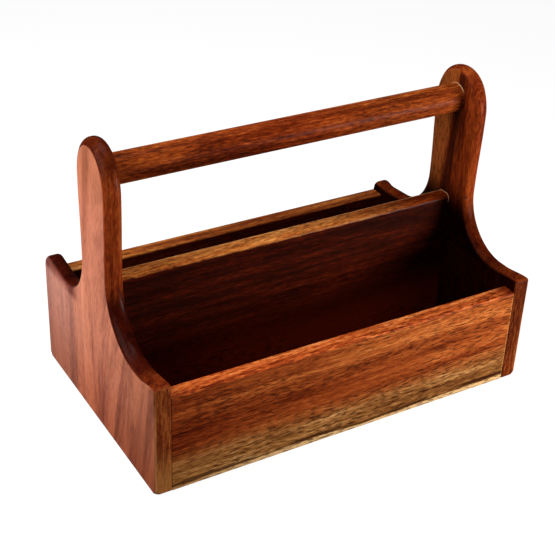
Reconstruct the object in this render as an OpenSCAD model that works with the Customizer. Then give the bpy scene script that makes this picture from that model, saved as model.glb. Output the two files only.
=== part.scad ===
// Wooden table caddy: a two-compartment tote with shaped end boards and a round handle rail.
// Frame: X runs along the handle, Y from the front (-) to the back (+), Z is up.
// The origin is at the middle of the underside, on the surface that the caddy stands on.

/* [Overall] */
// Length over the outer faces of the two end boards
caddy_length = 300; // [240:1:380]
// Depth from the front face to the rear face
caddy_depth = 183; // [150:1:230]
// Height from the table to the top of the posts
caddy_height = 216.5; // [180:0.5:270]

/* [End boards] */
// Thickness of each end board
end_thickness = 12.5; // [10:0.5:18]
// Height of an end board at its front and rear edges
shoulder_height = 85; // [70:1:105]
// Radius of the hollow curve that runs from the shoulder up into the post
flare_radius = 38; // [28:1:46]
// Width of the post at its neck, just above the hollow curves
neck_width = 47; // [38:0.5:58]
// Width of the post's head at its widest
head_width = 50.5; // [40:0.5:62]
// How much the radius of the head's cheeks exceeds half the head's width
cheek_swell = 12.75; // [8:0.25:20]
// How much the radius of the round cap falls short of half the head's width
cap_inset = 2.25; // [1:0.25:4]
// Radius of the outline's corners that stand on the table
foot_radius = 1.5; // [0.5:0.5:8]
// Radius of the outline's corners at the shoulder's front and rear
shoulder_radius = 1.5; // [0.5:0.5:4]

/* [Front and rear panels] */
// Thickness of the front and rear panels
panel_thickness = 12; // [10:0.5:16]
// How far the panels' top edges lie below the shoulders
panel_drop = 9; // [4:0.5:16]
// Radius of the two long top edges of a panel
panel_round = 1.5; // [0.5:0.5:4]

/* [Divider] */
// Thickness of the centre divider
divider_thickness = 12; // [10:0.5:16]
// How far the divider's top edge rises above the shoulders
divider_rise = 31; // [10:1:45]
// Radius of the two long top edges of the divider
divider_round = 3; // [1:0.5:4.5]

/* [Base board] */
// Thickness of the base board
base_thickness = 9; // [6:0.5:12]
// Height of the base board's underside above the table
base_lift = 4; // [2:0.5:8]
// Depth of the grooves that hold the base board on all four sides
groove_depth = 4; // [2:0.5:5]
// Space left around the base board in its grooves
groove_clearance = 0.2; // [0.1:0.05:0.5]

/* [Handle rail] */
// Diameter of the handle rail
rail_diameter = 21; // [16:0.5:28]
// Depth of the blind socket for the rail in each end board
socket_depth = 8; // [5:0.5:9]
// Radial clearance of the rail in its socket
socket_clearance = 0.15; // [0.05:0.05:0.3]
// Space left for glue at each end of the rail
socket_end_space = 0.5; // [0.3:0.1:1]

/* [Dowel pins] */
// Diameter of the hidden dowel pins
pin_diameter = 6; // [5:0.5:8]
// Depth of each pin's hole in the end board
pin_depth_end = 8; // [5:0.5:9]
// Depth of each pin's hole in the panel or divider
pin_depth_panel = 16; // [10:1:24]
// Radial clearance of a pin in its hole
pin_clearance = 0.1; // [0.05:0.05:0.2]
// Space left for glue at each end of a pin
pin_end_space = 0.5; // [0.3:0.1:1]
// Height of the lower pin above the base board, and of the upper pin below the top edge
pin_margin = 14; // [10:1:20]
// Width of the bevel around each end of a pin
pin_bevel = 0.6; // [0.3:0.1:1]

/* [Hidden] */

$fn = 96;

// Where cuts run past a surface
eps = 1;

// Stations along X and Y
inner_x = caddy_length / 2 - end_thickness;
half_depth = caddy_depth / 2;
panel_y = half_depth - panel_thickness / 2;

// Heights
panel_height = shoulder_height - panel_drop;
divider_height = shoulder_height + divider_rise;
base_top = base_lift + base_thickness;
neck_z = shoulder_height + flare_radius;

// The head: two cheeks and a cap, each arc tangent to the next
cap_radius = head_width / 2 - cap_inset;
cap_z = caddy_height - cap_radius;
cheek_radius = head_width / 2 + cheek_swell;
cheek_turn = acos(cheek_swell / (cheek_radius - cap_radius));
cheek_z = cap_z - (cheek_radius - cap_radius) * sin(cheek_turn);
cheek_end_z = cap_z + cap_radius * sin(cheek_turn);

// Heights of the two pins in a board whose top edge is at height top
function pin_heights(top) = [base_top + pin_margin, top - pin_margin];

end_colour = "#b86b49";
panel_colour = "#9c5526";
divider_colour = "#5e2710";
rail_colour = "#a5552a";
base_colour = "#6f3a1c";
pin_colour = "#dcc096";

// A rectangle from the origin corner up, with its two upper corners rounded
module round_topped(width, height, radius) {
    translate([-width / 2, 0]) square([width, height - radius]);
    translate([radius - width / 2, 0]) square([width - 2 * radius, height]);
    for (side = [-1, 1])
        translate([side * (width / 2 - radius), height - radius]) circle(r = radius);
}

// The wide lower part of an end board, up to the shoulder
module end_body_outline() {
    intersection() {
        round_topped(caddy_depth, shoulder_height, shoulder_radius);
        translate([0, shoulder_height + foot_radius]) mirror([0, 1])
            round_topped(caddy_depth, shoulder_height + foot_radius, foot_radius);
    }
}

// One hollow curve between the shoulder and the post, on the side that side names
module flare_outline(side) {
    difference() {
        translate([side > 0 ? 0 : -neck_width / 2 - flare_radius, shoulder_height - eps])
            square([neck_width / 2 + flare_radius, flare_radius + eps]);
        translate([side * (neck_width / 2 + flare_radius), neck_z]) circle(r = flare_radius);
    }
}

// The post, widening from its neck up to the head
module post_outline() {
    polygon([
        [-neck_width / 2, neck_z - eps], [neck_width / 2, neck_z - eps],
        [neck_width / 2, neck_z], [head_width / 2, cheek_z],
        [-head_width / 2, cheek_z], [-neck_width / 2, neck_z]
    ]);
}

// The head: where the two cheek arcs overlap, closed by the round cap
module head_outline() {
    intersection() {
        cheek_disc(1);
        cheek_disc(-1);
        translate([-head_width, cheek_z]) square([2 * head_width, cheek_end_z - cheek_z]);
    }
    translate([0, cap_z]) circle(r = cap_radius);
}

// The full disc whose edge is the cheek on one side
module cheek_disc(side) {
    translate([-side * cheek_swell, cheek_z]) circle(r = cheek_radius);
}

module end_outline() {
    end_body_outline();
    for (side = [-1, 1]) flare_outline(side);
    post_outline();
    head_outline();
}

// Holes for the pins of one joint: along X, from the joint face at x = 0 into negative X
module pin_holes(y, top, depth) {
    for (z = pin_heights(top))
        translate([-depth, y, z]) rotate([0, 90, 0])
            cylinder(r = pin_diameter / 2 + pin_clearance, h = depth + eps);
}

// The groove in an end board that takes the base board's end
module end_groove() {
    groove_y = half_depth - panel_thickness + groove_depth;
    translate([-groove_depth, -groove_y, base_lift - groove_clearance / 2])
        cube([groove_depth + eps, 2 * groove_y, base_thickness + groove_clearance]);
}

// The right end board: its inner face is the plane x = inner_x
module end_board() {
    difference() {
        translate([inner_x, 0, 0]) rotate([90, 0, 90])
            linear_extrude(height = end_thickness) end_outline();
        translate([inner_x - eps, 0, cap_z]) rotate([0, 90, 0])
            cylinder(d = rail_diameter + 2 * socket_clearance, h = socket_depth + eps);
        translate([inner_x, 0, 0]) mirror([1, 0, 0]) {
            end_groove();
            for (side = [-1, 1]) pin_holes(side * panel_y, panel_height, pin_depth_end);
            pin_holes(0, divider_height, pin_depth_end);
        }
    }
}

// Pin holes in both ends of a board that spans the end boards
module spanning_pin_holes(y, top) {
    for (turn = [0, 180])
        rotate([0, 0, turn]) translate([inner_x, 0, 0])
            pin_holes(turn == 0 ? y : -y, top, pin_depth_panel);
}

// The rear panel, at positive Y, grooved on its inner face for the base board
module panel() {
    difference() {
        translate([-inner_x, panel_y, 0]) rotate([90, 0, 90])
            linear_extrude(height = 2 * inner_x)
                round_topped(panel_thickness, panel_height, panel_round);
        translate([-inner_x - eps, half_depth - panel_thickness - eps,
                   base_lift - groove_clearance / 2])
            cube([2 * (inner_x + eps), groove_depth + eps, base_thickness + groove_clearance]);
        spanning_pin_holes(panel_y, panel_height);
    }
}

// The two pins of one joint at the right-hand end
module joint_pins(y, top) {
    length = pin_depth_end + pin_depth_panel - 2 * pin_end_space;
    for (z = pin_heights(top))
        translate([inner_x - pin_depth_panel + pin_end_space, y, z]) rotate([0, 90, 0])
            rotate_extrude() polygon([
                [0, 0], [pin_diameter / 2 - pin_bevel, 0], [pin_diameter / 2, pin_bevel],
                [pin_diameter / 2, length - pin_bevel], [pin_diameter / 2 - pin_bevel, length],
                [0, length]
            ]);
}

module right_end_board() {
    color(end_colour) end_board();
}

module left_end_board() {
    color(end_colour) mirror([1, 0, 0]) end_board();
}

module rear_panel() {
    color(panel_colour) panel();
}

module front_panel() {
    color(panel_colour) mirror([0, 1, 0]) panel();
}

// The divider stands on the base board and is pinned to the end boards
module centre_divider() {
    color(divider_colour) difference() {
        translate([-inner_x, 0, base_top]) rotate([90, 0, 90])
            linear_extrude(height = 2 * inner_x)
                round_topped(divider_thickness, divider_height - base_top, divider_round);
        spanning_pin_holes(0, divider_height);
    }
}

// The base board reaches into the grooves on all four sides
module base_board() {
    reach = groove_depth - groove_clearance;
    base_x = inner_x + reach;
    base_y = half_depth - panel_thickness + reach;
    color(base_colour) translate([-base_x, -base_y, base_lift])
        cube([2 * base_x, 2 * base_y, base_thickness]);
}

// The rail is centred on the cap's arc and ends in the blind sockets
module handle_rail() {
    rail_x = inner_x + socket_depth - socket_end_space;
    color(rail_colour) translate([-rail_x, 0, cap_z]) rotate([0, 90, 0])
        cylinder(d = rail_diameter, h = 2 * rail_x);
}

module front_panel_pins_right() {
    color(pin_colour) joint_pins(-panel_y, panel_height);
}

module front_panel_pins_left() {
    mirror([1, 0, 0]) front_panel_pins_right();
}

module rear_panel_pins_right() {
    color(pin_colour) joint_pins(panel_y, panel_height);
}

module rear_panel_pins_left() {
    mirror([1, 0, 0]) rear_panel_pins_right();
}

module divider_pins_right() {
    color(pin_colour) joint_pins(0, divider_height);
}

module divider_pins_left() {
    mirror([1, 0, 0]) divider_pins_right();
}

left_end_board();
right_end_board();
front_panel();
rear_panel();
centre_divider();
base_board();
handle_rail();
front_panel_pins_left();
front_panel_pins_right();
rear_panel_pins_left();
rear_panel_pins_right();
divider_pins_left();
divider_pins_right();
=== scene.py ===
# %% [markdown]
# # A lacquered acacia table caddy
# The caddy is a tote with two compartments: two shaped end boards, a low panel in front and behind, a
# taller divider between them, a base board let into grooves, and a round rail to carry it by. The CAD
# model holds the sizes and joints. This script gives each board its rounded edges and its own wood.

# %% Load the frame
import math

import bpy
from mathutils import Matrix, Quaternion, Vector
from mathutils.kdtree import KDTree


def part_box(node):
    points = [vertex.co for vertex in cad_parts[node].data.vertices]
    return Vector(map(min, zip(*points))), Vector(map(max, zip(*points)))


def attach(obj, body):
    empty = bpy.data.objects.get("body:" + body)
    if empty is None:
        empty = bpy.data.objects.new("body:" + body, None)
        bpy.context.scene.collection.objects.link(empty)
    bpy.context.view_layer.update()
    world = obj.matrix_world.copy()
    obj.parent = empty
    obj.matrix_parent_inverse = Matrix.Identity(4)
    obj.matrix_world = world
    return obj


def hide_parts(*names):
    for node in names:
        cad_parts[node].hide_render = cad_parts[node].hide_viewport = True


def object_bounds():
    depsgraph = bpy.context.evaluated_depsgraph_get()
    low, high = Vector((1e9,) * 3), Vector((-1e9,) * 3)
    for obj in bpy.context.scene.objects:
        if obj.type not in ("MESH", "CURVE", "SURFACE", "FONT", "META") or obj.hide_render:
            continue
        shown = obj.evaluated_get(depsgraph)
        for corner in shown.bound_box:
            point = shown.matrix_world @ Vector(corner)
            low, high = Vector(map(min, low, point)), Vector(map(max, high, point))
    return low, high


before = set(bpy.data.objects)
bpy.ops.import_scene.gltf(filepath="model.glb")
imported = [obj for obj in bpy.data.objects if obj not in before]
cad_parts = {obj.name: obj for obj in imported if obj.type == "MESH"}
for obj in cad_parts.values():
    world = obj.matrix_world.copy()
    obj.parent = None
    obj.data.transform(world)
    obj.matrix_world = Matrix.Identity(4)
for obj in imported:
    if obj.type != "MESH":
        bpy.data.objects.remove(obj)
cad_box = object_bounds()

MM = 0.001
low_corner, high_corner = cad_box
middle = (low_corner + high_corner) / 2
print("the CAD box in mm:", [round(side / MM, 1) for side in high_corner - low_corner])

# %% [markdown]
# ## Camera
# The camera comes first, so that every later step can be looked at. It stands in front and to the
# left, looks down by about a third of a right angle through a long lens, and is tilted a little on its
# axis. Giving its direction as two angles and a distance keeps it easy to move round the object.

# %% Camera
camera_azimuth = math.radians(-31.647)
camera_elevation = math.radians(31.278)
camera_roll = math.radians(2.661)
camera_distance = 898.35 * MM
aim = middle + Vector((-13.04, -8.52, -23.21)) * MM

back = Vector((
    math.sin(camera_azimuth) * math.cos(camera_elevation),
    -math.cos(camera_azimuth) * math.cos(camera_elevation),
    math.sin(camera_elevation),
))
bpy.ops.object.camera_add(location=aim + back * camera_distance)
camera = bpy.context.object
camera.name = "camera"
camera.rotation_mode = "QUATERNION"
camera.rotation_quaternion = (-back).to_track_quat("-Z", "Y") @ Quaternion((0, 0, 1), camera_roll)
camera.data.sensor_width = 36
camera.data.lens = 81.586
bpy.context.scene.camera = camera
print("camera stands at", [round(c, 3) for c in camera.location])

# %% [markdown]
# ## Selecting by place
# Modelling by hand means picking edges and faces with the mouse. In a script the same picking is done by
# asking each vertex, edge or face where it is. Small helpers do that: they pick parts of a mesh, add a
# primitive block at a box's size and place, copy a piece in mirror image, and apply a modifier.

# %% Helpers for picking and shaping
SELECT_MODES = {
    "VERT": (True, False, False),
    "EDGE": (False, True, False),
    "FACE": (False, False, True),
}
TOUCH = 0.01 * MM


def deselect_all():
    if bpy.context.mode != "OBJECT":
        bpy.ops.object.mode_set(mode="OBJECT")
    bpy.ops.object.select_all(action="DESELECT")


def make_active(piece):
    deselect_all()
    piece.select_set(True)
    bpy.context.view_layer.objects.active = piece


def pick(piece, kind, wanted):
    """Goes into edit mode with the vertices, edges or faces picked that wanted(points) is true for."""
    make_active(piece)
    bpy.ops.object.mode_set(mode="EDIT")
    bpy.context.tool_settings.mesh_select_mode = SELECT_MODES[kind]
    bpy.ops.mesh.select_all(action="DESELECT")
    bpy.ops.object.mode_set(mode="OBJECT")
    mesh = piece.data
    if kind == "VERT":
        for vertex in mesh.vertices:
            vertex.select = wanted([vertex.co])
    else:
        for part in mesh.edges if kind == "EDGE" else mesh.polygons:
            part.select = wanted([mesh.vertices[i].co for i in part.vertices])
    bpy.ops.object.mode_set(mode="EDIT")


def pick_all(piece):
    make_active(piece)
    bpy.ops.object.mode_set(mode="EDIT")
    bpy.context.tool_settings.mesh_select_mode = SELECT_MODES["FACE"]
    bpy.ops.mesh.select_all(action="SELECT")


def mirrored_copy(piece, name, axis):
    """A copy with its own mesh. A negative scale turns it inside out, so its normals are mended."""
    make_active(piece)
    bpy.ops.object.duplicate(linked=False)
    copy = bpy.context.object
    copy.name = name
    copy.data.name = name
    copy.scale[axis] = -1
    bpy.ops.object.transform_apply(location=True, rotation=True, scale=True)
    pick_all(copy)
    bpy.ops.mesh.normals_make_consistent(inside=False)
    bpy.ops.object.mode_set(mode="OBJECT")
    return copy


def block(name, low, high):
    """A cube primitive brought to a box's size and place, with its place in its mesh."""
    deselect_all()
    bpy.ops.mesh.primitive_cube_add(size=1, location=(Vector(low) + Vector(high)) / 2)
    piece = bpy.context.object
    piece.name = name
    piece.data.name = name
    piece.scale = Vector(high) - Vector(low)
    bpy.ops.object.transform_apply(location=True, rotation=True, scale=True)
    return piece


def apply_modifier(piece, kind, **settings):
    make_active(piece)
    modifier = piece.modifiers.new(kind.lower(), kind)
    for setting, value in settings.items():
        setattr(modifier, setting, value)
    bpy.ops.object.modifier_apply(modifier=modifier.name)


def cut_away(piece, cutter):
    """Takes the cutter's shape out of the piece, as a chisel or drill would."""
    apply_modifier(piece, "BOOLEAN", operation="DIFFERENCE", solver="EXACT", object=cutter)
    bpy.data.objects.remove(cutter)


def drill(piece, centre, depth, radius, towards):
    """A round blind hole along X, from the centre of its mouth."""
    deselect_all()
    over = 1 * MM
    bpy.ops.mesh.primitive_cylinder_add(
        vertices=48, radius=radius, depth=depth + over,
        location=Vector(centre) + Vector((towards * (depth - over) / 2, 0, 0)),
        rotation=(0, math.pi / 2, 0),
    )
    cutter = bpy.context.object
    bpy.ops.object.transform_apply(location=True, rotation=True, scale=True)
    cut_away(piece, cutter)


def smooth(piece, angle=35):
    """Smooth shading on the rounded edges only, with flat faces kept flat."""
    make_active(piece)
    bpy.ops.object.shade_smooth_by_angle(angle=math.radians(angle))
    apply_modifier(piece, "WEIGHTED_NORMAL", weight=100, keep_sharp=True)


# %% [markdown]
# ## End boards
# Each end board is sawn from one plank with the grain upright: a wide foot, a hollow flare on each side,
# and a post with a round head. A router then rounds the whole upper outline, wider on the outer face
# than on the inner one. The outline could be a curve object, but here it is drawn in edit mode with a
# single vertex as the pen: extrude draws the straight lines and spin draws the arcs. Only the rear half
# is drawn, and a mirror makes the front half, because the sawyer's template is the same on both sides.

# %% The end board's dimensions, read from the frame and from the maker's template
left_low, left_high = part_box("left_end_board")
rail_low, rail_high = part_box("handle_rail")
panel_low, panel_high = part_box("front_panel")
divider_low, divider_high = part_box("centre_divider")
base_low, base_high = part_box("base_board")

outer_x = left_low.x
inner_x = left_high.x
half_depth = left_high.y
board_height = left_high.z
thickness = inner_x - outer_x
rail_z = (rail_low.z + rail_high.z) / 2
shoulder_z = panel_high.z + 9 * MM
flare_radius = 38 * MM
neck_half = 23.5 * MM
head_half = 25.25 * MM
cap_radius = board_height - rail_z
cheek_swell = 12.75 * MM
cheek_radius = head_half + cheek_swell
cheek_turn = math.acos(cheek_swell / (cheek_radius - cap_radius))
cheek_z = rail_z - (cheek_radius - cap_radius) * math.sin(cheek_turn)
neck_z = shoulder_z + flare_radius
heights = (shoulder_z, neck_z, cheek_z)
print("shoulder, neck and cheek heights in mm:", [round(z / MM, 1) for z in heights])

# %% Draw half of the outline with one vertex as the pen
SPIN_AXIS = (-1, 0, 0)


def draw_line(y, z):
    bpy.ops.mesh.extrude_region_move(TRANSFORM_OT_translate={"value": (0, y, z)})


def draw_arc(centre_y, centre_z, angle, steps):
    """Turns the pen about a centre; a positive angle turns from +Y towards +Z."""
    bpy.ops.mesh.spin(
        steps=steps, angle=angle, center=(outer_x, centre_y, centre_z), axis=SPIN_AXIS,
        dupli=False, use_auto_merge=False,
    )


deselect_all()
bpy.ops.mesh.primitive_plane_add(size=1 * MM, location=(outer_x, 0, 0), rotation=(0, math.pi / 2, 0))
left_board = bpy.context.object
left_board.name = "left_board"
bpy.ops.object.transform_apply(location=True, rotation=True, scale=True)
bpy.ops.object.mode_set(mode="EDIT")
bpy.context.tool_settings.mesh_select_mode = SELECT_MODES["VERT"]
bpy.ops.mesh.select_all(action="SELECT")
bpy.ops.mesh.merge(type="CENTER")

draw_line(half_depth, 0)
draw_line(0, shoulder_z)
draw_line(neck_half + flare_radius - half_depth, 0)
draw_arc(neck_half + flare_radius, neck_z, -math.pi / 2, 30)

# The side of the post is two long shallow arcs, so that it sways gently from the neck to the head
sway = (head_half - neck_half) / 2
sway_rise = (cheek_z - neck_z) / 2
sway_radius = (sway_rise**2 + sway**2) / (2 * sway)
sway_angle = math.asin(sway_rise / sway_radius)
draw_arc(neck_half + sway_radius, neck_z, -sway_angle, 6)
draw_arc(head_half - sway_radius, cheek_z, sway_angle, 6)
draw_arc(-cheek_swell, cheek_z, cheek_turn, 10)
draw_arc(0, rail_z, math.pi / 2 - cheek_turn, 16)
bpy.ops.object.mode_set(mode="OBJECT")
pen_end = max(left_board.data.vertices, key=lambda vertex: vertex.co.z).co
print("the pen ends at", [round(c / MM, 2) for c in pen_end], "mm")
print("the top of the board should be at", round(board_height / MM, 2), "mm")

# %% [markdown]
# ## From outline to board
# The half outline is mirrored and filled, which gives one flat face. Its corners are rounded while it is
# still flat, because a vertex bevel keeps them true arcs: crisp at the front shoulders, softer at the
# rear ones, which show their whole rounding from the side. The straight shoulders are cut into short
# lengths, so that the routed edge can fade out towards the corners. Then the face is extruded.

# %% Mirror, fill, round the corners and extrude
front_corner_radius = 2.2 * MM
rear_corner_radius = 4 * MM
fade_cuts = 14
rear_cuts = 24

apply_modifier(left_board, "MIRROR", use_axis=(False, True, False), merge_threshold=TOUCH)
pick_all(left_board)
bpy.context.tool_settings.mesh_select_mode = SELECT_MODES["VERT"]
bpy.ops.mesh.select_all(action="SELECT")
bpy.ops.mesh.remove_doubles(threshold=TOUCH)
bpy.ops.mesh.edge_face_add()


def near(y, z):
    return lambda points: all(math.hypot(p.y - y, p.z - z) < 10 * TOUCH for p in points)


for corner_y, radius in ((-half_depth, front_corner_radius), (half_depth, rear_corner_radius)):
    pick(left_board, "VERT", near(corner_y, shoulder_z))
    bpy.ops.mesh.bevel(affect="VERTICES", offset_type="OFFSET", offset=radius, segments=8, profile=0.5)


def pick_long_edges(piece, wanted, least):
    """Picks the edges longer than least whose two ends are both where wanted says."""
    pick(piece, "EDGE", lambda ends: (ends[0] - ends[1]).length > least and all(map(wanted, ends)))


def cut_edge(piece, wanted, cuts):
    """Cuts one long edge into short ones. Two at a time would be joined across the face."""
    pick_long_edges(piece, wanted, 10 * MM)
    bpy.ops.mesh.subdivide(number_cuts=cuts)


def on_shoulder(point):
    return abs(point.z - shoulder_z) < TOUCH


cut_edge(left_board, lambda p: p.y < 0 and on_shoulder(p), fade_cuts)
cut_edge(left_board, lambda p: p.y > 0 and on_shoulder(p), fade_cuts)
cut_edge(left_board, lambda p: abs(p.y - half_depth) < TOUCH, rear_cuts)
pick_all(left_board)
bpy.ops.mesh.extrude_region_move(TRANSFORM_OT_translate={"value": (thickness, 0, 0)})
bpy.ops.mesh.select_all(action="SELECT")
bpy.ops.mesh.normals_make_consistent(inside=False)
print("extruded board:", len(left_board.data.vertices), "vertices")

# %% [markdown]
# The two lower corners of the outer face are sanded away, as a maker does so that they don't chip.
# Bisect cuts each one off with a slanting plane and fills the cut.

# %% Sand off the outer lower corners
sanded = 3.2 * MM


def bisect_corner(piece, corner, outwards, depth):
    """Cuts a corner off, where outwards points from the middle of the block to the corner."""
    direction = Vector(outwards).normalized()
    pick_all(piece)
    bpy.ops.mesh.bisect(
        plane_co=Vector(corner) - direction * depth, plane_no=direction, use_fill=True, clear_outer=True
    )


for side in (-1, 1):
    bisect_corner(left_board, (outer_x, side * half_depth, 0), (-1, side, -1), sanded / math.sqrt(3))
bpy.ops.object.mode_set(mode="OBJECT")

# %% [markdown]
# ## Routed and sanded edges
# First a bevel modifier eases every sharp edge by the same small radius, as sandpaper does. Then the
# upper outline is routed: a rounding is only a quarter circle between a face and an edge, so scaling it
# about the old sharp corner makes it larger and leaves its shape true. One bevel with a weight for each
# edge could do both, but its width can't grow smoothly along a straight shoulder, and this can. The
# outer face gets the wider rounding, and it fades out towards the front corners.

# %% Ease all edges, then rout the upper outline
eased = 1.2 * MM
outer_round = 6.7 * MM
inner_round = 5.1 * MM
front_fade = 22 * MM
rear_corner_round = 3.8 * MM
rear_fade = 10 * MM


def grow(start, end, distance, length):
    """Grows smoothly from start to end over this length."""
    share = min(max(distance / length, 0), 1)
    return start + (end - start) * share * share * (3 - 2 * share)


def routed_radius(y, z, widest):
    """The rounding's radius where the outline passes through y and z."""
    below_shoulder = shoulder_z - z
    if y < 0:
        if below_shoulder > TOUCH:
            return eased
        return grow(eased, widest, y + half_depth - front_corner_radius, front_fade)
    corner_round = min(rear_corner_round, widest)
    if below_shoulder > TOUCH:
        return grow(corner_round, eased, below_shoulder, 2 * rear_corner_radius)
    return grow(corner_round, widest, half_depth - rear_corner_radius - y, rear_fade)


outline = [v.co.copy() for v in left_board.data.vertices if abs(v.co.x - outer_x) < TOUCH]
corner_finder = KDTree(len(outline))
for number, point in enumerate(outline):
    corner_finder.insert((0, point.y, point.z), number)
corner_finder.balance()

apply_modifier(
    left_board, "BEVEL", limit_method="ANGLE", angle_limit=math.radians(40), width=eased,
    segments=10, use_clamp_overlap=False,
)
lowest_routed = shoulder_z - 2 * rear_corner_radius
for vertex in left_board.data.vertices:
    place = vertex.co
    outer = place.x < (outer_x + inner_x) / 2
    face_x = outer_x if outer else inner_x
    corner = corner_finder.find((0, place.y, place.z))[0]
    if abs(place.x - face_x) > eased * 1.01 or corner.z < lowest_routed:
        continue
    larger = routed_radius(corner.y, corner.z, outer_round if outer else inner_round) / eased
    place.x = face_x + (place.x - face_x) * larger
    place.y = corner.y + (place.y - corner.y) * larger
    place.z = corner.z + (place.z - corner.z) * larger
left_board.data.update()
print("routed board:", len(left_board.data.polygons), "faces")

# %% [markdown]
# ## The right end board
# Both end boards come from one template, so the right one is a copy of the left with its own mesh,
# mirrored end for end.

# %% Mirror the left board into the right one
left_board.data.name = "left_board"
right_board = mirrored_copy(left_board, "right_board", 0)
print("right board from", round(min(v.co.x for v in right_board.data.vertices) / MM, 1), "mm")

# %% [markdown]
# No two hand-sanded boards are quite alike. The rear horn, where the shoulder meets the rear edge, is
# a little proud on the left board and sanded lower on the right one. Each is nudged by a smooth lift of
# its vertices, which fades out towards the flare and towards the middle of the board.

# %% Nudge the rear horns
left_horn_lift = 2.2 * MM
right_horn_lift = -1.6 * MM
horn_start = neck_half + flare_radius - 6 * MM
horn_length = 26 * MM


def nudge_horn(board, lift):
    for vertex in board.data.vertices:
        outwards = grow(0, 1, vertex.co.y - horn_start, horn_length)
        upwards = grow(0, 1, vertex.co.z - shoulder_z / 2, shoulder_z / 2)
        if vertex.co.z < neck_z:
            vertex.co.z += lift * outwards * upwards


nudge_horn(left_board, left_horn_lift)
nudge_horn(right_board, right_horn_lift)
for board in (left_board, right_board):
    horn_z = max(v.co.z for v in board.data.vertices if v.co.y > half_depth - rear_fade)
    print(board.name, "rear horn at", round(horn_z / MM, 1), "mm")

# %% [markdown]
# ## Joints in the end boards
# A blind socket takes the rail, so no end grain shows outside. A groove takes the base board, and
# pairs of drilled holes take the dowel pins. They are cut with boolean modifiers, which do what the
# drill and the router bit do. The holes' places are read from the pins themselves.

# %% Cut the sockets, grooves and pin holes
socket_slack = 0.15 * MM
groove_slack = 0.2 * MM
pin_slack = 0.1 * MM
hole_spare = 0.5 * MM
groove_top = base_high.z + groove_slack / 2
groove_bottom = base_low.z - groove_slack / 2
rail_radius = (rail_high.z - rail_low.z) / 2
PIN_SETS = ("front_panel_pins", "rear_panel_pins", "divider_pins")


def pin_mouths(hand):
    """Each hole's mouth on one end board's inner face, its pin's radius, and the pin's two ends."""
    face_x = -inner_x if hand == "right" else inner_x
    for pins in PIN_SETS:
        low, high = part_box(f"{pins}_{hand}")
        radius = (high.y - low.y) / 2
        for z in (low.z + radius, high.z - radius):
            yield Vector((face_x, (low.y + high.y) / 2, z)), radius, low.x, high.x


for board, hand in ((left_board, "left"), (right_board, "right")):
    towards = 1 if hand == "right" else -1
    face_x = -towards * inner_x
    socket_depth = rail_high.x + inner_x + hole_spare
    drill(board, (face_x, 0, rail_z), socket_depth, rail_radius + socket_slack, towards)
    groove_near, groove_far = sorted((face_x - towards * MM, towards * (base_high.x + groove_slack)))
    groove_y = base_high.y + groove_slack
    groove = block("groove", (groove_near, -groove_y, groove_bottom), (groove_far, groove_y, groove_top))
    cut_away(board, groove)
    for mouth, radius, pin_start, pin_end in pin_mouths(hand):
        reach = abs((pin_end if towards > 0 else pin_start) - face_x)
        drill(board, mouth, reach + hole_spare, radius + pin_slack, towards)
    smooth(board)
    print(board.name, "has", len(board.data.polygons), "faces with its joints cut")

# %% [markdown]
# ## Front and rear panels
# A panel is a plain planed board, as long as the gap between the end boards and flush with their
# edges. Its two top edges are eased, and its lower outer edge a little less. A groove inside holds the
# base board: two bisect cuts mark it on the inner face, and the strip between them is extruded inwards.

# %% Shape the front panel, then copy it for the rear
panel_eased = 1.5 * MM
panel_foot_eased = 0.8 * MM


def round_picked(radius, segments):
    bpy.ops.mesh.bevel(
        affect="EDGES", offset_type="OFFSET", offset=radius, segments=segments, profile=0.5
    )
    bpy.ops.object.mode_set(mode="OBJECT")


def ease(piece, wanted, radius, segments=6):
    """Rounds the long edges whose two ends are both where wanted says."""
    pick_long_edges(piece, wanted, 50 * MM)
    round_picked(radius, segments)


def bisect_level(piece, z):
    """Marks a level line all round a board."""
    pick_all(piece)
    bpy.ops.mesh.bisect(plane_co=(0, 0, z), plane_no=(0, 0, 1))
    bpy.ops.object.mode_set(mode="OBJECT")


def drill_for_pins(piece, middle_y):
    """Drills the holes in both ends of a board that spans between the end boards."""
    for hand in ("left", "right"):
        towards = -1 if hand == "right" else 1
        for mouth, radius, pin_start, pin_end in pin_mouths(hand):
            if abs(mouth.y - middle_y) < radius:
                reach = abs((pin_start if hand == "right" else pin_end) - mouth.x)
                drill(piece, mouth, reach + hole_spare, radius + pin_slack, towards)


front_board = block("front_board", panel_low, panel_high)
for level in (groove_bottom, groove_top):
    bisect_level(front_board, level)
pick(front_board, "FACE", lambda points: (
    all(abs(p.y - panel_high.y) < TOUCH for p in points)
    and all(groove_bottom - TOUCH < p.z < groove_top + TOUCH for p in points)
))
bpy.ops.mesh.extrude_region_move(
    TRANSFORM_OT_translate={"value": (0, base_low.y - groove_slack - panel_high.y, 0)}
)
bpy.ops.object.mode_set(mode="OBJECT")
ease(front_board, lambda p: p.z > panel_high.z - TOUCH, panel_eased)
ease(front_board, lambda p: p.z < TOUCH and p.y < panel_low.y + TOUCH, panel_foot_eased)
drill_for_pins(front_board, (panel_low.y + panel_high.y) / 2)

rear_board = mirrored_copy(front_board, "rear_board", 1)
smooth(front_board)
smooth(rear_board)
print("panel faces:", len(front_board.data.polygons))

# %% [markdown]
# ## Divider
# The divider stands on the base board and rises above the panels. Hands reach over it, so both of its
# top edges are well rounded, the front one a little more.

# %% Shape the divider
divider_rear_round = 3 * MM
divider_front_round = 3.6 * MM

divider_board = block("divider_board", divider_low, divider_high)
ease(divider_board, lambda p: p.z > divider_high.z - TOUCH and p.y > 0, divider_rear_round, 10)
ease(divider_board, lambda p: p.z > divider_high.z - TOUCH and p.y < 0, divider_front_round, 10)
drill_for_pins(divider_board, 0)
smooth(divider_board)
print("divider faces:", len(divider_board.data.polygons))

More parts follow.
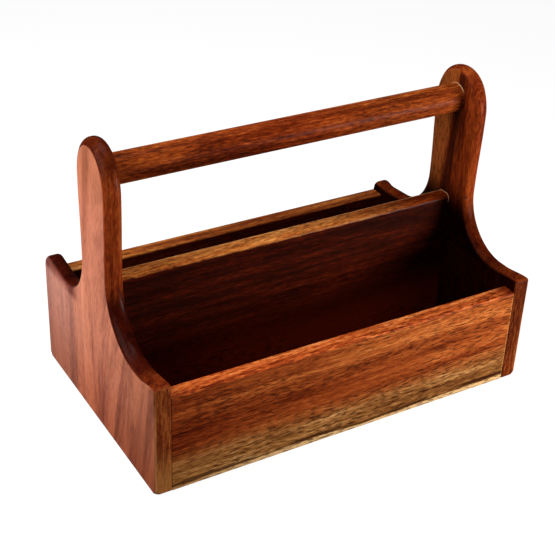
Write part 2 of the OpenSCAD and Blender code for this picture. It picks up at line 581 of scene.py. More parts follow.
# %% [markdown]
# ## Base board
# Its upper face is seen in the dark at the bottom of the compartments, and its lower face only from
# below. All its edges are eased, so that it slides into the grooves.

# %% Shape the base board
base_eased = 0.6 * MM

floor_board = block("floor_board", base_low, base_high)
pick(floor_board, "EDGE", lambda points: True)
round_picked(base_eased, 3)
smooth(floor_board)
print("base board faces:", len(floor_board.data.polygons))

# %% [markdown]
# ## Rail
# The rail is a turned dowel. A cylinder primitive gives the round, and its ends are inset and pushed
# out a little, which makes the small lead-in that helps it into the sockets.

# %% Shape the rail
lead_in = 0.8 * MM
deselect_all()
bpy.ops.mesh.primitive_cylinder_add(
    vertices=96, radius=rail_radius, depth=rail_high.x - rail_low.x - 2 * lead_in,
    location=(0, 0, rail_z), rotation=(0, math.pi / 2, 0),
)
rail = bpy.context.object
rail.name = "rail"
rail.data.name = "rail"
bpy.ops.object.transform_apply(location=True, rotation=True, scale=True)
for side in (-1, 1):
    end_x = side * (rail_high.x - lead_in)
    pick(rail, "FACE", lambda points: all(abs(p.x - end_x) < TOUCH for p in points))
    bpy.ops.mesh.inset(thickness=lead_in, depth=lead_in)
    bpy.ops.object.mode_set(mode="OBJECT")
smooth(rail)
print("rail faces:", len(rail.data.polygons))

# %% [markdown]
# ## Glue lines
# A little glue squeezes out of a joint and dries to a pale thread. At the rail it is a fine ring round
# the socket's mouth, drawn out a little at the top. At the divider it is a thread that follows the
# rounded top of the board: a thin collar from a block with the divider's own roundings.

# %% Lay the glue rings and threads
thread = 0.35 * MM
ring_gap = 0.1 * MM
wider = 0.3 * MM
collar_length = 0.5 * MM
collar_height = 6 * MM
drawn_out = 1.004
glue_lines = []
for hand, side in (("left", -1), ("right", 1)):
    face_x = -side * inner_x
    deselect_all()
    bpy.ops.mesh.primitive_torus_add(
        major_segments=96, minor_segments=10, major_radius=rail_radius + ring_gap, minor_radius=thread,
        location=(face_x - side * ring_gap, 0, rail_z), rotation=(0, math.pi / 2, 0),
    )
    ring = bpy.context.object
    ring.name = f"rail_glue_{hand}"
    bpy.ops.object.transform_apply(location=True, rotation=True, scale=True)
    pick(ring, "VERT", lambda points: points[0].z > rail_z)
    bpy.ops.transform.resize(value=(1, 1, drawn_out), center_override=(0, 0, rail_z))
    bpy.ops.object.mode_set(mode="OBJECT")
    smooth(ring, 80)
    collar_x = sorted((face_x, face_x - side * collar_length))
    collar = block(
        f"divider_glue_{hand}",
        (collar_x[0], divider_low.y - wider, divider_high.z - collar_height),
        (collar_x[1], divider_high.y + wider, divider_high.z + wider),
    )
    top_z = divider_high.z + wider
    for sign, radius in ((-1, divider_front_round + wider), (1, divider_rear_round + wider)):
        pick(collar, "EDGE", lambda points: all(
            abs(p.z - top_z) < TOUCH and p.y * sign > divider_high.y for p in points
        ))
        round_picked(radius, 10)
    glue_lines += [ring, collar]
print("glue lines:", [piece.name for piece in glue_lines])

# %% [markdown]
# ## How the wood is made
# Lacquered acacia is heartwood in long streaks, from near black to honey, with short dark pores and a
# hard gloss over it. An image of wood would repeat and couldn't turn round an edge. Noise stretched
# along the grain is solid, so the streaks run through the board as real ones do. A few helpers keep
# each recipe short: they add a node, do a sum, stretch a noise, and blend two colours.

# %% Helpers for materials


def tone(red, green, blue):
    """A colour given as screen values from 0 to 255, turned into the shader's linear light."""
    def linear(value):
        share = value / 255
        return share / 12.92 if share <= 0.04045 else ((share + 0.055) / 1.055) ** 2.4
    return (linear(red), linear(green), linear(blue), 1)


def add_node(tree, kind, inputs=None, **settings):
    node = tree.nodes.new(kind)
    for setting, value in settings.items():
        setattr(node, setting, value)
    for name, value in (inputs or {}).items():
        if isinstance(value, bpy.types.NodeSocket):
            tree.links.new(value, node.inputs[name])
        else:
            node.inputs[name].default_value = value
    return node


def maths(tree, operation, first, second=0.0, third=0.0):
    node = add_node(tree, "ShaderNodeMath", {0: first, 1: second, 2: third}, operation=operation)
    return node.outputs[0]


def times(tree, first, second):
    return maths(tree, "MULTIPLY", first, second)


def away_from(tree, value, place):
    """How far a value is from a place, on either side of it."""
    return maths(tree, "ABSOLUTE", maths(tree, "SUBTRACT", value, place))


def rise(tree, value, start, end):
    """0 below start and 1 above end, with a soft climb between them."""
    node = add_node(
        tree, "ShaderNodeMapRange", {"Value": value, "From Min": start, "From Max": end},
        interpolation_type="SMOOTHSTEP",
    )
    return node.outputs["Result"]


def below(tree, value, start, end):
    """1 below start and 0 above end."""
    return maths(tree, "SUBTRACT", 1.0, rise(tree, value, start, end))


def coordinate(tree, place, axis):
    return add_node(tree, "ShaderNodeSeparateXYZ", {0: place}).outputs[axis]


def blend(tree, factor, first, second, how="MIX"):
    node = tree.nodes.new("ShaderNodeMix")
    node.data_type = "RGBA"
    node.blend_type = how
    for socket, value in ((node.inputs[0], factor), (node.inputs[6], first), (node.inputs[7], second)):
        if isinstance(value, bpy.types.NodeSocket):
            tree.links.new(value, socket)
        else:
            socket.default_value = value
    return node.outputs[2]


def shade(tree, factor, colour, tint):
    """Darkens a colour by multiplying it with a tint: used both for darker wood and for painted shade.
    """
    return blend(tree, factor, colour, tint, "MULTIPLY")


def ramp(tree, value, stops):
    """A colour ramp whose stops are (position, colour) pairs."""
    node = add_node(tree, "ShaderNodeValToRGB", {"Fac": value})
    elements = node.color_ramp.elements
    while len(elements) < len(stops):
        elements.new(1)
    for element, (position, colour) in zip(elements, stops):
        element.position = position
        element.color = colour
    return node.outputs["Color"]


def along_grain(grain, along, across):
    """Noise scales for a grain that runs along X or Z, in features per metre."""
    return (along, across, across) if grain == "X" else (across, across, along)


def stretched_noise(tree, place, scale, seed, detail=3.0, roughness=0.55):
    """A noise with its own scale on each axis, read from the part of space that the seed picks."""
    mapping = add_node(
        tree, "ShaderNodeMapping",
        {"Vector": place, "Location": (seed, seed * 1.7, seed * 2.3), "Scale": scale},
    )
    noise = add_node(
        tree, "ShaderNodeTexNoise",
        {"Vector": mapping.outputs[0], "Scale": 1.0, "Detail": detail, "Roughness": roughness},
    )
    return noise


# %% [markdown]
# ## The wood recipe
# Every board uses one recipe with its own tones, seed and grain direction. A figure is several noises
# added up: slow ones give the heartwood its broad streaks and fine ones its fibres. Short thresholded
# dashes are the pores. The grain is bent by a slow noise first, because no real streak is straight. A
# `features` function may then paint what only that board has, such as a strip of sapwood. The lacquer
# is a thin coat over the wood, and a small bump sinks the pores into it.

# %% Wood recipe
# Each layer of a figure is (features per metre along the grain, across it, share of the figure)
PLAIN_FIGURE = ((3, 62, 0.38), (18, 320, 0.32), (150, 900, 0.3))
BOLD_FIGURE = ((2.5, 45, 0.45), (9, 230, 0.3), (60, 560, 0.25))
SOFT_FIGURE = ((2.5, 42, 0.58), (6, 120, 0.27), (50, 420, 0.15))
CURLY_FIGURE = ((6, 90, 0.32), (40, 420, 0.32), (200, 950, 0.36))
FINE_FIGURE = ((3, 70, 0.4), (24, 360, 0.3), (180, 950, 0.3))

# The part of the noise's range that the tones are spread over
CONTRAST = (0.38, 0.62)
LOW_CONTRAST = (0.36, 0.64)
HIGH_CONTRAST = (0.4, 0.6)

PORE = tone(38, 12, 5)
SHEEN_BLUR = 0.45
COAT_BLUR = 0.16
PORE_DEPTH = 0.2 * MM


def noise_stack(tree, place, grain, seed, layers):
    """Adds several noises of different length and width into one figure around 0.5."""
    total = 0.0
    for index, (along, across, share) in enumerate(layers):
        noise = stretched_noise(tree, place, along_grain(grain, along, across), seed + 2 * index, 3, 0.6)
        total = maths(tree, "ADD", total, times(tree, noise.outputs["Fac"], share))
    return total


def figured(tree, place, grain, seed, tones, layers, contrast=CONTRAST):
    figure = noise_stack(tree, place, grain, seed, layers)
    spread = add_node(
        tree, "ShaderNodeMapRange", {"Value": figure, "From Min": contrast[0], "From Max": contrast[1]}
    )
    return ramp(tree, spread.outputs["Result"], tones)


def bent_grain(tree, place, grain, seed, bend):
    """Moves each point by up to half of bend, so that the streaks wander."""
    wander = stretched_noise(tree, place, along_grain(grain, 7, 16), seed, 2)
    centred = add_node(
        tree, "ShaderNodeVectorMath", {0: wander.outputs["Color"], 1: (0.5, 0.5, 0.5)},
        operation="SUBTRACT",
    )
    push = add_node(
        tree, "ShaderNodeVectorMath", {0: centred.outputs[0], "Scale": bend}, operation="SCALE"
    )
    moved = add_node(tree, "ShaderNodeVectorMath", {0: place, 1: push.outputs[0]}, operation="ADD")
    return moved.outputs[0]


def wood(name, grain, seed, tones, layers=PLAIN_FIGURE, contrast=CONTRAST, bend=6 * MM, fleck=0.6,
         gloss=0.03, sheen=0.025, features=None):
    """Makes a lacquered wood: fleck is how dark the pores are, gloss and sheen how shiny it is."""
    material = bpy.data.materials.new(name)
    material.use_nodes = True
    tree = material.node_tree
    tree.nodes.clear()
    place = add_node(tree, "ShaderNodeTexCoord").outputs["Object"]
    bent = bent_grain(tree, place, grain, seed, bend)
    colour = figured(tree, bent, grain, seed + 3, tones, layers, contrast)
    if features:
        colour = features(tree, colour, place, bent)

    fibres = stretched_noise(tree, bent, along_grain(grain, 40, 850), seed + 7, 3, 0.6).outputs["Fac"]
    dashes = stretched_noise(tree, bent, along_grain(grain, 150, 1100), seed + 9, 1).outputs["Fac"]
    patches = stretched_noise(tree, bent, along_grain(grain, 9, 45), seed + 11, 1).outputs["Fac"]
    pores = times(tree, rise(tree, dashes, 0.5, 0.62), rise(tree, patches, 0.25, 0.55))
    colour = blend(tree, times(tree, pores, fleck), colour, PORE)

    roughness = maths(tree, "ADD", times(tree, fibres, 0.12), SHEEN_BLUR - 0.06)
    relief = maths(tree, "SUBTRACT", times(tree, fibres, 0.4), pores)
    bump = add_node(
        tree, "ShaderNodeBump", {"Height": relief, "Strength": 0.12, "Distance": PORE_DEPTH}
    )
    shader = add_node(
        tree, "ShaderNodeBsdfPrincipled",
        {
            "Base Color": colour, "Roughness": roughness, "Normal": bump.outputs[0],
            "Coat Weight": gloss, "Coat Roughness": COAT_BLUR, "Coat IOR": 1.45,
            "IOR": 1.4, "Specular IOR Level": sheen,
        },
    )
    output = add_node(tree, "ShaderNodeOutputMaterial", {"Surface": shader.outputs[0]})
    output.name = "finish"
    return material


def dress(piece, material, *nodes, slot=None):
    """Gives a finished piece its wood, puts it on the body, and stands it in for its CAD nodes."""
    piece.data.materials.clear()
    piece.data.materials.append(material)
    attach(piece, "root")
    if nodes:
        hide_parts(*nodes)


# %% [markdown]
# ## End board wood
# The planed outer faces show a pale, salmon brown layer of the wood with upright streaks; its tones
# are made pinker and greyer by a painted sheen. The router cuts into the deeper heartwood, so the
# rounded edge is much darker and starts at a crisp line. The front and rear edges are golden again,
# most of all near the foot. Tests on depth, height and nearness to an edge switch between these layers.
# Each test is a range: the place where a layer starts and the place where it is full. Naming the ranges
# here keeps the painting below short.

# %% End board tones and places
# Pale tones of the outer face, made pinker and greyer by a painted sheen
PALE_TONES_WITH_SHEEN = (
    (0.0, tone(112, 62, 52)), (0.25, tone(158, 92, 73)), (0.5, tone(194, 119, 92)),
    (0.75, tone(210, 131, 101)), (1.0, tone(226, 148, 114)),
)
DEEP_TONES = (
    (0.0, tone(62, 16, 5)), (0.3, tone(98, 32, 9)), (0.5, tone(124, 46, 14)),
    (0.75, tone(148, 64, 21)), (1.0, tone(172, 86, 32)),
)
EDGE_TONES = (
    (0.0, tone(44, 13, 4)), (0.35, tone(84, 31, 11)),
    (0.65, tone(114, 49, 18)), (1.0, tone(156, 82, 35)),
)
ROUTED_TONES = (
    (0.0, tone(58, 14, 4)), (0.3, tone(96, 31, 9)), (0.55, tone(126, 49, 15)), (1.0, tone(162, 78, 29)),
)
# A painted sheen that turns the rear of the outer face mauve
PAINTED_MAUVE_SHEEN = tone(182, 134, 124)
VEIN_SHADE = tone(214, 204, 202)
# Painted shade towards the front and towards the foot of the outer face
FRONT_PAINTED_SHADE = tone(206, 200, 190)
FOOT_PAINTED_SHADE = tone(222, 196, 178)
HEAD_SHADE = tone(228, 223, 212)
REAR_SHOULDER_TINT = tone(158, 132, 132)
GOLDEN_SIDE = tone(150, 84, 36)
BLACK_STREAK = tone(44, 14, 6)
# Painted shade, low inside the compartments and on the end edges above the foot
PAINTED_SHADE_TINT = tone(50, 30, 26)
# Darker tint, for the painted shade in the hollow flare and for the left board's darker cap
FLARE_DARK = tone(106, 72, 72)
GOLDEN_EDGE = tone(158, 104, 52)
# Pale corner near the foot: paler wood at the eased arris, with a painted highlight
PALE_CORNER_AND_HIGHLIGHT = tone(184, 124, 76)
KNOT = tone(56, 24, 26)

# Heights on the outer face, up from the table
foot_heights = (0, 80 * MM)
rear_shoulder_heights = (77 * MM, 84 * MM)
vein_heights = (100 * MM, 160 * MM)
head_heights = (160 * MM, 195 * MM)

# Places along Y on the outer face; the front is negative
leaning_places = (-40 * MM, 20 * MM)
front_places = (-half_depth - 0.5 * MM, 0)
sheen_places = (8 * MM, 70 * MM)
rear_shoulder_places = (25 * MM, 42 * MM)

# The rest of the board
edge_foot_heights = (8 * MM, 40 * MM)
pale_corner_heights = (50 * MM, 90 * MM)
shoulder_heights = (shoulder_z - 8 * MM, shoulder_z - 2 * MM)
flare_heights = (shoulder_z + 21 * MM, shoulder_z + 41 * MM)
cap_heights = (board_height - 28.5 * MM, board_height - 8.5 * MM)
behind_shoulder_places = (4 * MM - half_depth, 26 * MM - half_depth)
knot_y = -neck_half
knot_z = 121 * MM


def leaning_line(tree, height, foot_y, lean):
    """Where a streak that leans by this much per metre of height runs, along Y."""
    return maths(tree, "MULTIPLY_ADD", height, lean, foot_y)


def outer_face_wood(tree, bent, y, height, seed):
    """The pale layer: painted shade makes it browner and darker towards the foot and the front, and a
    painted sheen turns it mauve at the rear.
    """
    bent_y = coordinate(tree, bent, 1)
    lean = times(tree, below(tree, y, *leaning_places), 0.2)
    leaning = add_node(
        tree, "ShaderNodeCombineXYZ",
        {0: coordinate(tree, bent, 0), 1: maths(tree, "MULTIPLY_ADD", height, lean, bent_y), 2: height},
    ).outputs[0]
    pale = figured(tree, leaning, "Z", seed, PALE_TONES_WITH_SHEEN, SOFT_FIGURE, LOW_CONTRAST)
    from_vein = away_from(tree, bent_y, leaning_line(tree, height, 29 * MM, -0.12))
    vein = times(tree, below(tree, from_vein, 2 * MM, 8 * MM), rise(tree, height, *vein_heights))
    pale = shade(tree, vein, pale, VEIN_SHADE)
    # Painted sheen: the rear of the outer face turns mauve.
    pale = blend(tree, times(tree, rise(tree, y, *sheen_places), 0.5), pale, PAINTED_MAUVE_SHEEN)
    # Painted shade: darker towards the front.
    pale = shade(tree, below(tree, y, *front_places), pale, FRONT_PAINTED_SHADE)
    # Darker and greyer on the outer face just below the rear shoulder.
    below_rear_shoulder = times(tree, rise(tree, height, *rear_shoulder_heights), rise(tree, y, *rear_shoulder_places))
    pale = shade(tree, below_rear_shoulder, pale, REAR_SHOULDER_TINT)
    pale = shade(tree, rise(tree, height, *head_heights), pale, HEAD_SHADE)
    # Painted shade: darker towards the foot.
    return shade(tree, below(tree, height, *foot_heights), pale, FOOT_PAINTED_SHADE)


# %% [markdown]
# The painting goes from the inside out. The heartwood comes first, with a black streak up the post, a
# golden layer behind it, and painted shade low down inside. Over it comes the curlier grain of the
# routed edge, with painted shade in the hollow flare, then the front and rear edges with painted shade
# above the foot, a small knot at the right board's neck and a paler corner near the foot, paler wood at
# the eased arris with a painted highlight. The pale outer layer is last: it is half a millimetre deep,
# and deeper at the rear, where the router cut less sharply.

# %% Paint the end boards


def end_board_layers(outer_face_x, seed, shade_top, flare_strength, golden, edge_shade, knot_x=None):
    """Paints an end board by depth below its outer face, by height and by nearness to its edges."""
    def features(tree, colour, place, bent):
        depth = away_from(tree, coordinate(tree, place, 0), outer_face_x)
        y = coordinate(tree, place, 1)
        height = coordinate(tree, place, 2)
        pale = outer_face_wood(tree, bent, y, height, seed)

        streak_y = leaning_line(tree, height, 12.5 * MM, -0.09)
        off_streak = maths(tree, "SUBTRACT", coordinate(tree, bent, 1), streak_y)
        golden_side = rise(tree, off_streak, 3 * MM, 9 * MM)
        colour = blend(tree, times(tree, golden_side, 0.5), colour, GOLDEN_SIDE)
        streak = below(tree, maths(tree, "ABSOLUTE", off_streak), 1 * MM, 8 * MM)
        colour = blend(tree, times(tree, streak, 0.8), colour, BLACK_STREAK)
        # Painted shade: the inner face is darker low down, in the compartment, below shade_top.
        low = below(tree, height, shade_top - 25 * MM, shade_top + 15 * MM)
        colour = shade(tree, low, colour, PAINTED_SHADE_TINT)

        above_shoulder = rise(tree, height, *shoulder_heights)
        off_inner_face = below(tree, depth, thickness - 1.3 * MM, thickness - 0.2 * MM)
        routed = figured(tree, bent, "Z", seed + 3, ROUTED_TONES, FINE_FIGURE, LOW_CONTRAST)
        colour = blend(tree, times(tree, off_inner_face, above_shoulder), colour, routed)
        # Painted shade in the hollow flare, weaker at the front shoulder.
        flare = times(tree, below(tree, height, *flare_heights), above_shoulder)
        behind_shoulder = rise(tree, y, *behind_shoulder_places)
        darkness = maths(tree, "MULTIPLY_ADD", behind_shoulder, 0.7, 0.3)
        flare = times(tree, flare, times(tree, darkness, flare_strength))
        colour = shade(tree, flare, colour, FLARE_DARK)
        cap = times(tree, rise(tree, height, *cap_heights), 0.8 * golden)
        colour = shade(tree, cap, colour, FLARE_DARK)

        edge = figured(tree, bent, "Z", seed + 5, EDGE_TONES, CURLY_FIGURE, LOW_CONTRAST)
        near_foot = below(tree, height, *edge_foot_heights)
        edge = blend(tree, times(tree, near_foot, 0.6 * golden), edge, GOLDEN_EDGE)
        # Painted shade on the front and rear edges above the foot, as much as edge_shade says.
        above_foot = rise(tree, height, *edge_foot_heights)
        edge = shade(tree, times(tree, above_foot, edge_shade), edge, PAINTED_SHADE_TINT)
        from_middle = maths(tree, "ABSOLUTE", y)
        at_edge = rise(tree, from_middle, half_depth - 1.2 * MM, half_depth - 0.2 * MM)
        colour = blend(tree, at_edge, colour, edge)

        if knot_x is not None:
            from_knot = add_node(
                tree, "ShaderNodeVectorMath", {0: place, 1: (knot_x, knot_y, knot_z)},
                operation="DISTANCE",
            ).outputs["Value"]
            colour = blend(tree, below(tree, from_knot, 0.4 * MM, 2.6 * MM), colour, KNOT)
        # A paler corner near the foot: paler wood at the eased arris, with a painted highlight.
        near_edge = rise(tree, from_middle, half_depth - 1.3 * MM, half_depth - 0.6 * MM)
        at_corner = times(tree, near_edge, below(tree, depth, 0.9 * MM, 1.6 * MM))
        pale_corner = times(tree, at_corner, below(tree, height, *pale_corner_heights))
        colour = blend(tree, times(tree, pale_corner, 0.6), colour, PALE_CORNER_AND_HIGHLIGHT)

        pale_depth = maths(tree, "MULTIPLY_ADD", rise(tree, y, 20 * MM, 60 * MM), 2.4 * MM, 0.5 * MM)
        into_heart = rise(tree, maths(tree, "DIVIDE", depth, pale_depth), 0.15, 1.0)
        return blend(tree, into_heart, pale, colour)
    return features


left_layers = end_board_layers(
    outer_x, seed=112.0, shade_top=0.0, flare_strength=1.0, golden=1.0, edge_shade=0.2
)
right_layers = end_board_layers(
    -outer_x, seed=51.0, shade_top=126 * MM, flare_strength=0.8, golden=0.0, edge_shade=0.34,
    knot_x=-inner_x + 2 * MM,
)
left_wood = wood("left_end_acacia", "Z", 289.0, DEEP_TONES, features=left_layers, fleck=0.28)
right_wood = wood(
    "right_end_acacia", "Z", 88.0, DEEP_TONES, features=right_layers, gloss=0.01, sheen=0.01
)
dress(left_board, left_wood, "left_end_board", slot="end_board_wood")
dress(right_board, right_wood, "right_end_board", slot="end_board_wood")
print("end boards painted with", len(left_wood.node_tree.nodes), "nodes")

# %% [markdown]
# ## Panel wood
# The front panel was sawn where heartwood meets sapwood. Its top is orange red with a darker band of
# heart below it, it turns golden lower down, and a broken dark line runs just above the bottom edge
# with pale sapwood under it. Its upper left is darker heartwood with painted shade over it, and its top
# has painted shade at the right end board. The rear panel is plainer, has a golden top, and has painted
# shade on its inner face.

# %% Panel wood
PANEL_TONES = (
    (0.0, tone(72, 22, 6)), (0.3, tone(118, 50, 17)), (0.55, tone(146, 70, 27)),
    (0.8, tone(166, 87, 37)), (1.0, tone(190, 112, 55)),
)
GOLDEN_TONES = (
    (0.0, tone(58, 28, 10)), (0.3, tone(104, 60, 26)), (0.55, tone(138, 88, 43)),
    (0.8, tone(168, 118, 66)), (1.0, tone(202, 154, 98)),
)
TOP_TONES = (
    (0.0, tone(90, 28, 8)), (0.35, tone(148, 60, 21)),
    (0.6, tone(180, 84, 34)), (1.0, tone(214, 126, 66)),
)
REAR_TOP_TONES = (
    (0.0, tone(88, 35, 12)), (0.4, tone(134, 67, 26)),
    (0.7, tone(168, 102, 45)), (1.0, tone(200, 142, 82)),
)
HEART_BAND = tone(232, 216, 210)
LEFT_HEART_AND_SHADE = tone(220, 198, 192)
SAPWOOD = tone(208, 166, 112)
HEART_LINE = tone(48, 22, 9)
JOINT_LINE = tone(196, 134, 74)
TOP_END_PAINTED_SHADE = tone(150, 110, 96)
INSIDE_PAINTED_SHADE = tone(150, 116, 104)

golden_heights = (15 * MM, 36 * MM)
heart_band_z = 42 * MM
line_half_width = 2.6 * MM


def heart_and_line(tree, colour, place, bent):
    """The front panel's layers, from the golden foot up to the red top."""
    x = coordinate(tree, place, 0)
    z = coordinate(tree, bent, 2)
    golden = figured(tree, bent, "X", 348, GOLDEN_TONES, PLAIN_FIGURE)
    colour = blend(tree, below(tree, z, *golden_heights), colour, golden)
    off_band = away_from(tree, z, heart_band_z)
    band = times(tree, below(tree, off_band, 5 * MM, 18 * MM), below(tree, x, 0, 300 * MM))
    colour = shade(tree, band, colour, HEART_BAND)
    # Darker heartwood at the upper left, with painted shade of the light falling off towards the left.
    at_left = below(tree, x, -150 * MM, -30 * MM)
    colour = shade(tree, times(tree, at_left, rise(tree, z, 16 * MM, 40 * MM)), colour, LEFT_HEART_AND_SHADE)

    wander = stretched_noise(tree, place, (22, 1, 1), 73, 2).outputs["Fac"]
    line_base = maths(tree, "MULTIPLY_ADD", rise(tree, x, -140 * MM, -30 * MM), 2.2 * MM, 1.5 * MM)
    line_z = maths(tree, "MULTIPLY_ADD", wander, 5 * MM, line_base)
    above_line = maths(tree, "SUBTRACT", z, line_z)
    sapwood = times(
        tree, below(tree, above_line, -2.2 * MM, -1.2 * MM), rise(tree, x, -150 * MM, -60 * MM)
    )
    colour = blend(tree, times(tree, sapwood, 0.9), colour, SAPWOOD)
    gaps = stretched_noise(tree, bent, (30, 220, 220), 35, 2).outputs["Fac"]
    from_line = maths(tree, "DIVIDE", maths(tree, "ABSOLUTE", above_line), line_half_width)
    line = times(tree, below(tree, from_line, 0.2, 1.0), rise(tree, gaps, 0.3, 0.5))
    colour = blend(tree, times(tree, line, 0.85), colour, HEART_LINE)
    joint = rise(tree, x, panel_high.x - 1.1 * MM, panel_high.x - 0.3 * MM)
    colour = blend(tree, times(tree, joint, 0.4), colour, JOINT_LINE)

    reds = figured(tree, bent, "X", 354, TOP_TONES, CURLY_FIGURE, HIGH_CONTRAST)
    # Painted shade at the right end of the top, where it meets the end board.
    at_end = rise(tree, x, panel_high.x - 16 * MM, panel_high.x - 1 * MM)
    reds = shade(tree, at_end, reds, TOP_END_PAINTED_SHADE)
    upper_edge = (panel_high.z - 1.8 * MM, panel_high.z - 0.4 * MM)
    return blend(tree, rise(tree, coordinate(tree, place, 2), *upper_edge), colour, reds)


def golden_top(tree, colour, place, bent):
    """The rear panel has painted shade on its inner face and is golden on its upper edge."""
    rear_inner_y = -panel_high.y
    # Painted shade on the rear panel's inner face.
    inside = below(tree, coordinate(tree, place, 1), rear_inner_y + 0.4 * MM, rear_inner_y + 1.2 * MM)
    colour = shade(tree, inside, colour, INSIDE_PAINTED_SHADE)
    golds = figured(tree, bent, "X", 71, REAR_TOP_TONES, BOLD_FIGURE)
    upper_edge = (panel_high.z - 1.6 * MM, panel_high.z - 0.4 * MM)
    return blend(tree, rise(tree, coordinate(tree, place, 2), *upper_edge), colour, golds)


front_wood = wood(
    "front_panel_acacia", "X", 298.0, PANEL_TONES, features=heart_and_line, bend=8 * MM, fleck=0.72
)
rear_wood = wood("rear_panel_acacia", "X", 14.0, PANEL_TONES, features=golden_top, bend=7 * MM)
dress(front_board, front_wood, "front_panel", slot="panel_wood")
dress(rear_board, rear_wood, "rear_panel", slot="panel_wood")
print("panels painted with", len(front_wood.node_tree.nodes), "nodes")

# %% [markdown]
# ## Divider, base and rail wood
# The divider is the darkest plank, with a ragged golden layer along its top that is partly painted
# light, and a redder one low down that painted light lifts further. Its right end has a painted shadow,
# its top painted shade towards the right and a painted highlight on its rear arris. The base is plain
# and dark. The rail is turned from straight red-brown wood with short flecks, a little redder in its
# middle.

# %% Divider, base and rail wood
DIVIDER_TONES = (
    (0.0, tone(15, 3, 1)), (0.35, tone(34, 6, 2)), (0.6, tone(56, 12, 3)), (1.0, tone(94, 30, 9)),
)
DIVIDER_TOP_TONES_AND_LIGHT = (
    (0.0, tone(100, 40, 14)), (0.3, tone(152, 78, 30)),
    (0.6, tone(190, 112, 48)), (1.0, tone(222, 154, 84)),
)
RAIL_TONES = (
    (0.0, tone(56, 16, 4)), (0.3, tone(98, 36, 10)), (0.6, tone(138, 60, 19)), (1.0, tone(194, 104, 44)),
)
RED_FOOT_AND_PAINTED_LIGHT = tone(150, 48, 15)
END_PAINTED_SHADOW = tone(186, 176, 166)
TOP_PAINTED_SHADE = tone(130, 84, 60)
ARRIS_PAINTED_HIGHLIGHT = tone(214, 160, 108)
RAIL_HEART = tone(228, 206, 210)


def light_top(tree, colour, place, bent):
    """The divider's layers, from the red foot lifted by painted light up to the golden top, with painted
    shade, a painted shadow and a painted highlight.
    """
    x = coordinate(tree, place, 0)
    y = coordinate(tree, place, 1)
    z = coordinate(tree, place, 2)
    # A redder layer low down, lightened further with painted light that lifts the shade there.
    deep = times(tree, below(tree, z, 20 * MM, 66 * MM), 0.85)
    colour = blend(tree, deep, colour, RED_FOOT_AND_PAINTED_LIGHT)
    # Painted shadow of the right end board on the divider's right end.
    colour = shade(tree, rise(tree, x, 60 * MM, 136 * MM), colour, END_PAINTED_SHADOW)

    # The golden top: partly the wood, partly painted light on the top face.
    golds = figured(tree, bent, "X", 209, DIVIDER_TOP_TONES_AND_LIGHT, CURLY_FIGURE)
    # Painted shade: the top is darker towards the right.
    golds = shade(tree, rise(tree, x, -20 * MM, 120 * MM), golds, TOP_PAINTED_SHADE)
    ragged = stretched_noise(tree, place, (120, 300, 300), 43, 2).outputs["Fac"]
    ragged_z = maths(tree, "MULTIPLY_ADD", ragged, 2.4 * MM, z)
    top = rise(tree, ragged_z, divider_high.z - 2.2 * MM, divider_high.z - 0.4 * MM)
    colour = blend(tree, top, colour, golds)
    # Painted highlight on the rear arris of the top.
    arris = times(tree, rise(tree, y, 2.5 * MM, 4.5 * MM), top)
    return blend(tree, times(tree, arris, 0.5), colour, ARRIS_PAINTED_HIGHLIGHT)


def rail_heart(tree, colour, place, bent):
    """The middle of the rail is a little redder than its ends."""
    from_middle = away_from(tree, coordinate(tree, place, 0), -20 * MM)
    return shade(tree, below(tree, from_middle, 20 * MM, 90 * MM), colour, RAIL_HEART)


divider_wood = wood(
    "divider_acacia", "X", 181.0, DIVIDER_TONES, contrast=(0.35, 0.65), features=light_top, sheen=0.02
)
base_wood = wood("base_acacia", "X", 19.0, DIVIDER_TONES)
rail_wood = wood(
    "rail_acacia", "X", 310.0, RAIL_TONES, FINE_FIGURE, bend=5 * MM, gloss=0.015, sheen=0.015,
    features=rail_heart,
)
dress(divider_board, divider_wood, "centre_divider", slot="divider_wood")
dress(floor_board, base_wood, "base_board", slot="base_wood")
dress(rail, rail_wood, "handle_rail", slot="rail_wood")
print("dressed:", [piece.name for piece in (divider_board, floor_board, rail)])

# %% [markdown]
# ## Glue and pins
# Dried glue is a pale, slightly waxy amber. Each ring round the rail is darkened to a red brown below
# its top, so only its top shows pale. The hidden pins are plain beech.

# %% Glue and pins
GLUE_TONES = ((0.0, tone(124, 82, 50)), (1.0, tone(188, 146, 104)))
PIN_TONES = ((0.0, tone(176, 138, 96)), (1.0, tone(224, 194, 152)))
DARK_GLUE = tone(70, 26, 10)


def darkened_below(tree, colour, place, bent):
    """Darkens each ring round the rail below its top, and leaves the divider's threads pale."""
    z = coordinate(tree, place, 2)
    low_on_ring = below(tree, z, rail_z + 5 * MM, rail_z + 9 * MM)
    above_divider = rise(tree, z, divider_high.z + 10 * MM, divider_high.z + 20 * MM)
    return blend(tree, times(tree, low_on_ring, above_divider), colour, DARK_GLUE)


glue = wood("dried_glue", "X", 29.0, GLUE_TONES, fleck=0.0, gloss=0.1, features=darkened_below)
beech = wood("beech_pin", "X", 31.0, PIN_TONES, fleck=0.3, gloss=0.0)
for piece in glue_lines:
    dress(piece, glue)
for pins in PIN_SETS:
    for hand in ("left", "right"):
        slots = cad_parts[f"{pins}_{hand}"].data.materials
        slots.clear()
        slots.append(beech)
print("dressed the glue in", glue.name, "and the pins in", beech.name)

# %% [markdown]
# ## Floor and light
# The caddy stands on a pale floor that runs out to a white distance. A plain white floor would throw
# its own light up into the wood, so the floor reflects little and is lifted to white only for the
# camera. One big soft light stands close on the left and lights the outer face of the left board, one
# hangs above and lights all the top edges, and a smaller one on the right catches the panel's far end.
# Little light comes from the front, which keeps the inside of the compartments dark.

# %% Floor
floor_radius = 6
floor_grey = (0.15, 0.15, 0.15, 1)
floor_lift = 0.9

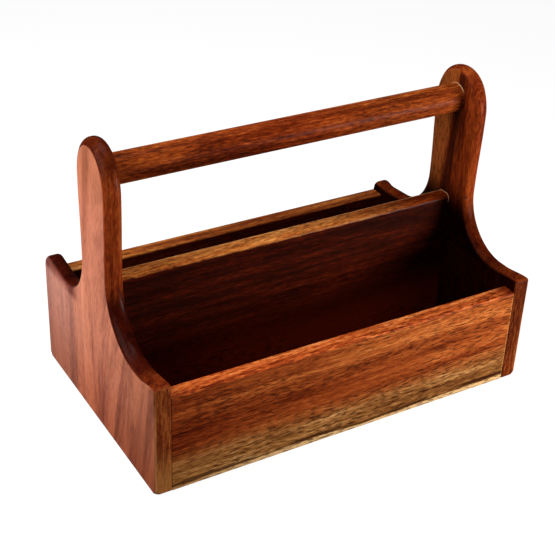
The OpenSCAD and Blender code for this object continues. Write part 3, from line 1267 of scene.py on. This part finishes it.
deselect_all()
bpy.ops.mesh.primitive_circle_add(vertices=96, radius=floor_radius, fill_type="NGON", location=(0, 0, 0))
floor = bpy.context.object
floor.name = "floor"
floor_finish = bpy.data.materials.new("pale_floor")
floor_finish.use_nodes = True
tree = floor_finish.node_tree
tree.nodes.clear()
seen = add_node(tree, "ShaderNodeLightPath").outputs["Is Camera Ray"]
matt = add_node(tree, "ShaderNodeBsdfDiffuse", {"Color": floor_grey})
lift = add_node(tree, "ShaderNodeEmission", {"Strength": times(tree, seen, floor_lift)})
both = add_node(tree, "ShaderNodeAddShader", {0: matt.outputs[0], 1: lift.outputs[0]})
add_node(tree, "ShaderNodeOutputMaterial", {"Surface": both.outputs[0]})
floor.data.materials.append(floor_finish)

# %% World and lights
room_light = 0.07
white_distance = 0.95

world = bpy.data.worlds.new("studio")
bpy.context.scene.world = world
world.use_nodes = True
tree = world.node_tree
tree.nodes.clear()
seen = add_node(tree, "ShaderNodeLightPath").outputs["Is Camera Ray"]
strength = maths(tree, "MULTIPLY_ADD", seen, white_distance, room_light)
around = add_node(tree, "ShaderNodeBackground", {"Color": (1, 1, 1, 1), "Strength": strength})
add_node(tree, "ShaderNodeOutputWorld", {"Surface": around.outputs[0]})
bpy.context.scene.view_settings.view_transform = "Standard"


def softbox(name, place, size, watts, target):
    deselect_all()
    bpy.ops.object.light_add(type="AREA", location=place)
    box = bpy.context.object
    box.name = name
    box.data.shape = "RECTANGLE"
    box.data.size, box.data.size_y = size
    box.data.energy = watts
    box.rotation_mode = "QUATERNION"
    box.rotation_quaternion = (Vector(target) - Vector(place)).to_track_quat("-Z", "Y")
    box.visible_camera = False


left_face_middle = (-0.15, 0, 0.13)
object_middle = (0, 0, 0.1)
right_panel_end = (0.15, -0.09, 0.05)
softbox("left_softbox", (-0.62, 0.02, 0.4), (0.6, 0.5), 5.2, left_face_middle)
softbox("top_softbox", (-0.1, 0.15, 1.0), (0.6, 0.6), 7.5, object_middle)
softbox("right_softbox", (0.44, -0.5, 0.13), (0.3, 0.2), 6.2, right_panel_end)
